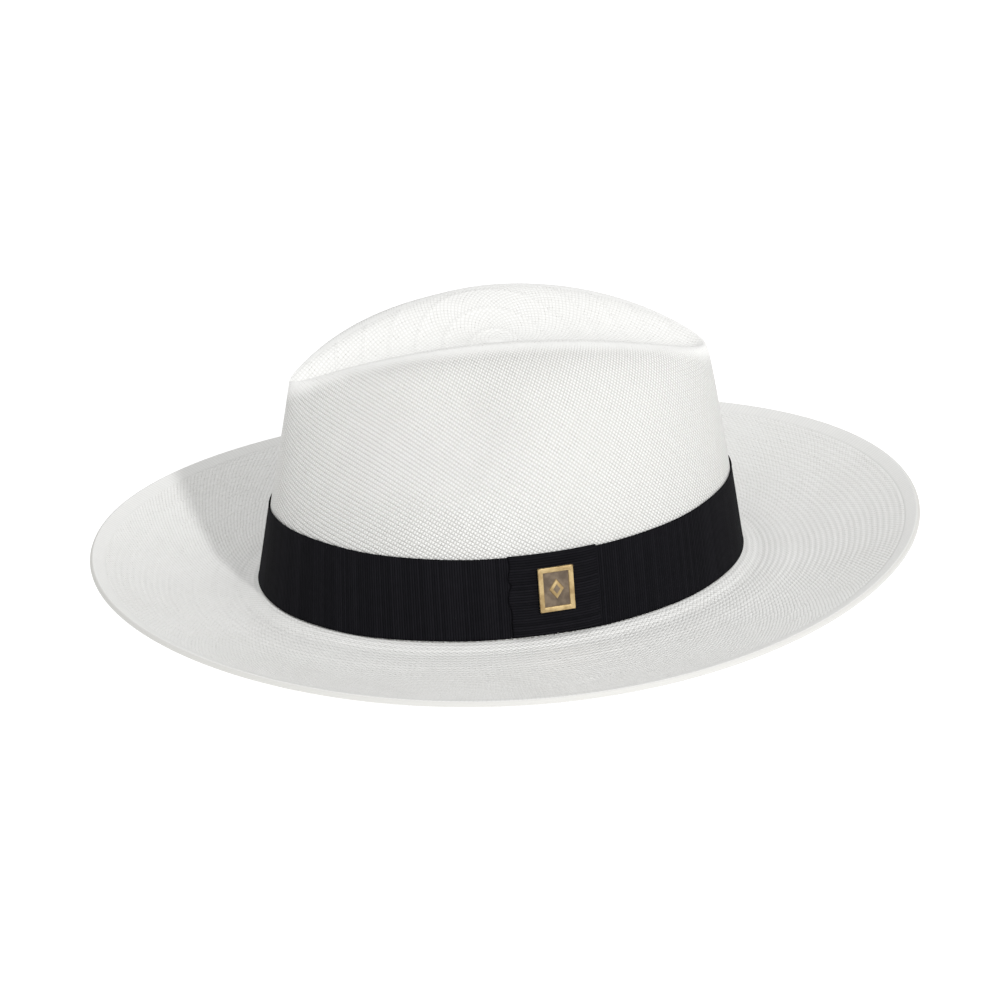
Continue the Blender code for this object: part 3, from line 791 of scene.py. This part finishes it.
badge_mesh = bmesh.new()
bmesh.ops.create_cube(badge_mesh, size=1.0)
bmesh.ops.scale(badge_mesh, vec=(BADGE_WIDTH, BADGE_HEIGHT, BADGE_THICKNESS), verts=badge_mesh.verts)
bmesh.ops.translate(badge_mesh, vec=(0, 0, BADGE_THICKNESS / 2), verts=badge_mesh.verts)
front = [max(badge_mesh.faces, key=lambda face: face.calc_center_median().z)]
bmesh.ops.inset_region(badge_mesh, faces=front, thickness=BADGE_BORDER, use_even_offset=True)
bmesh.ops.inset_region(
    badge_mesh, faces=front, thickness=BADGE_RECESS_SLOPE, depth=-BADGE_RECESS, use_even_offset=True
)
front[0].material_index = DARK
corners = [edge for edge in badge_mesh.edges if levels(edge)[1] - levels(edge)[0] > BADGE_THICKNESS * 0.9]
round_off(badge_mesh, corners, BADGE_CORNER, 3)
rim = [edge for edge in badge_mesh.edges if levels(edge)[0] > BADGE_THICKNESS - 0.01 * MM]
round_off(badge_mesh, rim, BADGE_RIM, 2)
for radius, low, high, finish in (LOZENGE_LOWER, LOZENGE_UPPER):
    before = set(badge_mesh.faces)
    stretched = Matrix.Diagonal((1.0, LOZENGE_STRETCH, 1.0, 1.0))
    bmesh.ops.create_cone(
        badge_mesh,
        cap_ends=True,
        segments=4,
        radius1=radius,
        radius2=radius * LOZENGE_TAPER,
        depth=high - low,
        matrix=Matrix.Translation((0, 0, (high + low) / 2)) @ stretched,
    )
    fresh = [face for face in badge_mesh.faces if face not in before]
    for face in fresh:
        face.material_index = finish
    edges = dict.fromkeys(edge for face in fresh for edge in face.edges)
    round_off(badge_mesh, list(edges), LOZENGE_EDGE, 2)
for side in (-1, 1):
    middle = Matrix.Translation((0, side * PRONG_SPACING / 2, PRONG_ROOT - PRONG[2] / 2))
    bmesh.ops.create_cube(badge_mesh, size=1.0, matrix=middle @ Matrix.Diagonal((*PRONG, 1)))

badge_level = (RIBBON_BOTTOM + RIBBON_TOP) / 2 + BADGE_RAISE
up_wall = (wall(KNOT_ANGLE, RIBBON_TOP + GAP) - wall(KNOT_ANGLE, RIBBON_BOTTOM)).normalized()
round_wall = (wall(knot_back, badge_level) - wall(knot_front, badge_level)).normalized()
badge_axes = Matrix((round_wall, up_wall, round_wall.cross(up_wall))).transposed().to_4x4()
badge_place = Matrix.Translation(wall(KNOT_ANGLE, badge_level, BADGE_BACK)) @ badge_axes
bmesh.ops.transform(badge_mesh, matrix=badge_place, verts=badge_mesh.verts)
antique_brass = brass("antique_brass", BRASS_BRIGHT, BRASS_WORN, 0.5, 0.75)
brass_patina = brass("brass_patina", PATINA_DARK, PATINA_LIGHT, 0.7, 0.15)
finish_piece(
    "badge_cast_plate",
    badge_mesh,
    [antique_brass, brass_patina],
    ["badge_plate"],
    crease=35,
    turn_faces=False,
)
refinish("badge_washer", antique_brass)

# Sweatband. A strip of tan leather inside the foot of the crown, butted at the back. Its grain side faces the
# head, and its lower edge is sewn through to the straw.
SWEATBAND_WIDTH = 33 * MM
SWEATBAND_THICKNESS = 0.9 * MM
SWEATBAND_EDGE = 0.25 * MM
SWEATBAND_ROWS = 12
BAND_COLUMNS = 256
REED_RADIUS = 0.6 * MM
REED_COVER = 0.35 * MM
COVER_OUTER = -STRAW - GAP
REED_OFFSET = COVER_OUTER - REED_COVER - GAP / 2
COVER_INNER = REED_OFFSET - GAP / 2 - REED_COVER
COVER_RADIUS = REED_RADIUS + GAP + REED_COVER
REED_HEIGHT = COVER_RADIUS + GAP
SWEATBAND_OUTER = COVER_INNER - GAP
SWEATBAND_INNER = SWEATBAND_OUTER - SWEATBAND_THICKNESS
SWEATBAND_BOTTOM = max(FOOT_TOP, REED_HEIGHT + COVER_RADIUS + GAP)
SWEATBAND_TOP = SWEATBAND_BOTTOM + SWEATBAND_WIDTH
LEATHER_TAN = (0.3, 0.145, 0.062)
LEATHER_WORN = (0.24, 0.11, 0.047)
LEATHER_DARK = (0.17, 0.075, 0.032)


def sweatband_at(angle, up_it):
    """The leather's face against the straw."""
    return wall(angle, SWEATBAND_BOTTOM + SWEATBAND_WIDTH * up_it, SWEATBAND_OUTER)


def tan_leather():
    """Smooth leather with a fine grain, worn in patches and darker along its cut edges."""
    made, tree, shader = surface_of("tan_leather", 0.46, 0.4)
    where = tree.nodes.new("ShaderNodeTexCoord")
    cells = tree.nodes.new("ShaderNodeTexVoronoi")
    cells.feature = "DISTANCE_TO_EDGE"
    cells.inputs["Scale"].default_value = 1100.0
    tree.links.new(where.outputs["Object"], cells.inputs["Vector"])
    grain = fade_of(tree, cells.outputs["Distance"], 0.0, 0.28)
    patch = fade_of(tree, cloud_of(tree, 40.0, 4.0), 0.3, 0.75)
    edge = math_of(tree, "ABSOLUTE", minus(tree, map_of(tree)[1], SWEATBAND_WIDTH / 2))
    rubbed = fade_of(tree, edge, SWEATBAND_WIDTH * 0.47, SWEATBAND_WIDTH * 0.5)
    tone = blend_of(tree, patch, LEATHER_TAN, LEATHER_WORN)
    tone = blend_of(tree, rubbed, tone, LEATHER_DARK)
    paint(tree, shader, blend_of(tree, grain, LEATHER_DARK, tone))
    raise_of(tree, shader, grain, 0.08 * MM, 0.7)
    return made


band_end = half_turn(SEAM_SLIT, pi)
band_mesh = strip_body(pi + band_end, 3 * pi - band_end, BAND_COLUMNS, SWEATBAND_ROWS, sweatband_at)
sweatband = finish_piece("sweatband_leather", band_mesh, [tan_leather()], ["sweatband"])
thicken(sweatband, SWEATBAND_THICKNESS)
rounded = sweatband.modifiers.new("rounded_edges", "BEVEL")
rounded.width = SWEATBAND_EDGE
rounded.segments = 2
rounded.limit_method = "ANGLE"

# Reed of the sweatband. A thin plastic rod that keeps the lower edge round, in a folded cover of dark cloth
# whose two flanges are sewn between the leather and the straw.
FLANGE_HEIGHT = 6 * MM
COVER_SWEEP = 20  # facets round the reed
COVER_MAP_STEP = 0.4 * MM
COVER_BROWN = (0.05, 0.03, 0.02)
COVER_WORN = (0.09, 0.055, 0.035)
REED_PALE = (0.72, 0.72, 0.68)
REED_DULL = (0.62, 0.62, 0.58)


def cover_fold(radius, half_opening, top):
    """One face of the cover, as offsets and heights: down one flange, round the reed and up the other."""
    gap_angle = asin(half_opening / radius)
    sweep = tau - 2 * gap_angle
    angles = [pi / 2 - gap_angle - sweep * step / COVER_SWEEP for step in range(COVER_SWEEP + 1)]
    round_reed = [(REED_OFFSET + radius * cos(a), REED_HEIGHT + radius * sin(a)) for a in angles]
    return [(REED_OFFSET + half_opening, top), *round_reed, (REED_OFFSET - half_opening, top)]


def cover_station(offset, height, along):
    """One line of the cover's section, right round the hat."""
    return lambda angle: (wall(angle, height, offset), along)


def cloth(name, first, second, pitch, roughness, specular, sheen, relief):
    """A fine plain cloth on the piece's own map."""
    made, tree, shader = surface_of(name, roughness, specular, sheen=sheen)
    along, up_it = map_of(tree)
    warp = math_of(tree, "SINE", times(tree, along, tau / pitch))
    weft = math_of(tree, "SINE", times(tree, up_it, tau / pitch))
    check = times(tree, warp, weft)
    mottle = times(tree, plus(tree, fade_of(tree, check, -1.0, 1.0), cloud_of(tree, 200.0)), 0.5)
    paint(tree, shader, blend_of(tree, mottle, first, second))
    raise_of(tree, shader, check, relief, 0.6)
    return made


cover_top = SWEATBAND_BOTTOM + FLANGE_HEIGHT
cover_section = cover_fold(COVER_RADIUS, GAP / 2 + REED_COVER, cover_top)
cover_section += reversed(cover_fold(REED_RADIUS + GAP, GAP / 2, cover_top))
cover_stations = [
    cover_station(offset, height, number * COVER_MAP_STEP)
    for number, (offset, height) in enumerate(cover_section)
]
cover_mesh = ring_body(cover_stations, BAND_COLUMNS, closed=True)
cover_cloth = cloth("cover_cloth", COVER_BROWN, COVER_WORN, 0.5 * MM, 0.75, 0.3, 0.2, 0.08 * MM)
cover = finish_piece("reed_cover_cloth", cover_mesh, [cover_cloth], ["sweatband_reed_cover"])
reed_plastic, reed_tree, reed_shader = surface_of("reed_plastic", 0.35, 0.5)
paint(reed_tree, reed_shader, blend_of(reed_tree, cloud_of(reed_tree, 90.0), REED_PALE, REED_DULL))
refinish("sweatband_reed", reed_plastic)

# Stitching. Ivory thread in even stitches: one row holds the sweatband to the straw near its lower edge, and
# one row under the brim holds the turned-under hem.
THREAD_RADIUS = 0.3 * MM
THREAD_PALE = (0.82, 0.79, 0.7)
THREAD_DULL = (0.6, 0.56, 0.46)
BAND_STITCHES = 148
BAND_STITCH = 2.7 * MM
BAND_STITCH_HEIGHT = 2 * MM
BAND_STITCH_PROUD = 0.4 * THREAD_RADIUS
HEM_STITCHES = 214
HEM_STITCH = 3.2 * MM
HEM_STITCH_PROUD = 0.3 * THREAD_RADIUS
HEM_SEAM = 4.2 * MM


def stitch_row(name, seat, count, length, node):
    """A row of stitches, each a low rounded loop of thread with its ends drawn in."""
    mesh = bmesh.new()
    for number in range(count):
        angle = tau * (number + 0.5) / count
        middle, out = seat(angle)
        run = (seat(angle + SMALL_TURN)[0] - middle).normalized()
        axes = Matrix((run * length / 2, out * THREAD_RADIUS, run.cross(out).normalized() * THREAD_RADIUS))
        place = Matrix.Translation(middle) @ axes.transposed().to_4x4() @ Matrix.Rotation(pi / 2, 4, "Y")
        bmesh.ops.create_uvsphere(mesh, u_segments=8, v_segments=4, radius=1.0, matrix=place)
    finish_piece(name, mesh, [thread], [node], crease=180)


def band_seat(angle):
    """Where a stitch of the sweatband lies, and the direction into the leather."""
    height = SWEATBAND_BOTTOM + BAND_STITCH_HEIGHT
    return wall(angle, height, SWEATBAND_INNER - BAND_STITCH_PROUD), out_of(angle)


def hem_seat(angle):
    """Where a stitch of the hem lies, and the direction into the brim."""
    place, _, normal = brim_frame(angle, around(BRIM_WIDTH, angle) - HEM_SEAM, HEM_THICKNESS)
    return place - normal * HEM_STITCH_PROUD, normal


thread, thread_tree, thread_shader = surface_of("ivory_thread", 0.6, 0.4, sheen=0.2)
thread_tone = blend_of(thread_tree, cloud_of(thread_tree, 1800.0, 3.0), THREAD_PALE, THREAD_DULL)
paint(thread_tree, thread_shader, thread_tone)
raise_of(thread_tree, thread_shader, cloud_of(thread_tree, 3000.0, 2.0), 0.05 * MM)
stitch_row("sweatband_stitches", band_seat, BAND_STITCHES, BAND_STITCH, "sweatband_stitching")
stitch_row("hem_stitches", hem_seat, HEM_STITCHES, HEM_STITCH, "brim_hem_thread")

# Seam tape and size label. Two small pieces of ivory satin ribbon on the face of the sweatband: one bridges
# its butted ends at the back, and a blank one is sewn beside it.
SATIN_GAUGE = 0.4 * MM  # from the leather's side to its face
SATIN_THICKNESS = 0.25 * MM
SATIN_TURN_DOWN = 0.15 * MM
SATIN_COLUMNS = 24
SATIN_ROWS = 20
TAPE_WIDTH = 14 * MM
TAPE_HEIGHT = 20 * MM
LABEL_WIDTH = 24 * MM
LABEL_HEIGHT = 12 * MM
LABEL_ANGLE = radians(207)
LABEL_DROP = 5 * MM
SATIN_PALE = (0.78, 0.74, 0.64)
SATIN_DULL = (0.66, 0.61, 0.5)


def satin_piece(name, angle, width, bottom, height, node):
    """A small piece of satin that follows the sweatband, with its edges turned down a little."""
    half = half_turn(width, angle)
    face = SWEATBAND_INNER - GAP - SATIN_GAUGE

    def place(at, up_it):
        inside = min(1 - abs(at - angle) / half, min(up_it, 1 - up_it) * height / width * 2)
        turned_down = SATIN_TURN_DOWN * exp(-((max(inside, 0.0) / 0.08) ** 2))
        return wall(at, bottom + height * up_it, face + turned_down)

    mesh = strip_body(angle - half, angle + half, SATIN_COLUMNS, SATIN_ROWS, place)
    made = finish_piece(name, mesh, [satin], [node])
    thicken(made, SATIN_THICKNESS, 1.0)


satin = cloth("ivory_satin", SATIN_PALE, SATIN_DULL, 0.4 * MM, 0.38, 0.5, 0.3, 0.04 * MM)
tape_bottom = (SWEATBAND_BOTTOM + SWEATBAND_TOP) / 2 - TAPE_HEIGHT / 2
label_bottom = SWEATBAND_TOP - LABEL_DROP - LABEL_HEIGHT
satin_piece("seam_tape_satin", pi, TAPE_WIDTH, tape_bottom, TAPE_HEIGHT, "sweatband_seam_tape")
satin_piece("size_label_satin", LABEL_ANGLE, LABEL_WIDTH, label_bottom, LABEL_HEIGHT, "size_label")

# Studio. A white floor and an even white surround, one lamp from the wearer's left and a little behind, and a
# wide soft light overhead. The camera looks down on the wearer's left side, a little from the front.
FLOOR_SIZE = 30.0
FLOOR_COLOUR = (0.45, 0.45, 0.45, 1)
FLOOR_GLOW = 0.76
SURROUND = 0.7
WHITE = (1, 1, 1, 1)
LAMP_TURN = radians(18)
LAMP_RISE = radians(30)
LAMP_DISTANCE = 3.0
LAMP_SIZE = 0.22
LAMP_POWER = 41
OVERHEAD_HEIGHT = 2.4
OVERHEAD_SIZE = 3.0
OVERHEAD_POWER = 9
CAMERA_TURN = radians(81)
CAMERA_RISE = radians(22.325)
CAMERA_ROLL = radians(3.455)
CAMERA_DISTANCE = 1.8
CAMERA_LENS = 154.76  # in millimetres, as the sensor is
CAMERA_SENSOR = 36.0
AIM_SIDE = 0.89 * MM
AIM_HEIGHT = 29.48 * MM


def disk_light(name, size, power):
    """A round soft light, pointing down until it is turned."""
    data = bpy.data.lights.new(name, "AREA")
    data.shape = "DISK"
    data.size = size
    data.energy = power
    made = bpy.data.objects.new(name, data)
    bpy.context.scene.collection.objects.link(made)
    return made


floor_mesh = bmesh.new()
bmesh.ops.create_grid(floor_mesh, x_segments=1, y_segments=1, size=FLOOR_SIZE)
floor_data = bpy.data.meshes.new("floor")
floor_mesh.to_mesh(floor_data)
floor_mesh.free()
floor = bpy.data.objects.new("floor", floor_data)
bpy.context.scene.collection.objects.link(floor)
floor_material, _, floor_shader = surface_of("white_paper", 0.9, 0.1)
floor_shader.inputs["Base Color"].default_value = FLOOR_COLOUR
floor_shader.inputs["Emission Color"].default_value = WHITE
floor_shader.inputs["Emission Strength"].default_value = FLOOR_GLOW
floor_data.materials.append(floor_material)

world = bpy.data.worlds.new("studio")
bpy.context.scene.world = world
world.use_nodes = True
world.node_tree.nodes["Background"].inputs["Color"].default_value = WHITE
world.node_tree.nodes["Background"].inputs["Strength"].default_value = SURROUND

lamp = disk_light("lamp", LAMP_SIZE, LAMP_POWER)
toward = Vector((cos(LAMP_TURN) * cos(LAMP_RISE), sin(LAMP_TURN) * cos(LAMP_RISE), sin(LAMP_RISE)))
lamp.location = toward * LAMP_DISTANCE
lamp.rotation_mode = "QUATERNION"
lamp.rotation_quaternion = toward.to_track_quat("Z", "Y")
overhead = disk_light("overhead", OVERHEAD_SIZE, OVERHEAD_POWER)
overhead.location = (0, 0, OVERHEAD_HEIGHT)

camera_data = bpy.data.cameras.new("camera")
camera_data.lens = CAMERA_LENS
camera_data.sensor_width = CAMERA_SENSOR
camera = bpy.data.objects.new("camera", camera_data)
bpy.context.scene.collection.objects.link(camera)
back = Vector((sin(CAMERA_TURN) * cos(CAMERA_RISE), -cos(CAMERA_TURN) * cos(CAMERA_RISE), sin(CAMERA_RISE)))
right = Vector((cos(CAMERA_TURN), sin(CAMERA_TURN), 0))
up = back.cross(right)
aim = Vector((0, FOOT_MIDDLE, AIM_HEIGHT)) + right * AIM_SIDE
rolled_right = right * cos(CAMERA_ROLL) - up * sin(CAMERA_ROLL)
rolled_up = right * sin(CAMERA_ROLL) + up * cos(CAMERA_ROLL)
camera_axes = Matrix((rolled_right, rolled_up, back)).transposed().to_4x4()
camera.matrix_world = Matrix.Translation(aim + back * CAMERA_DISTANCE) @ camera_axes
bpy.context.scene.camera = camera
bpy.context.scene.view_settings.view_transform = "Standard"
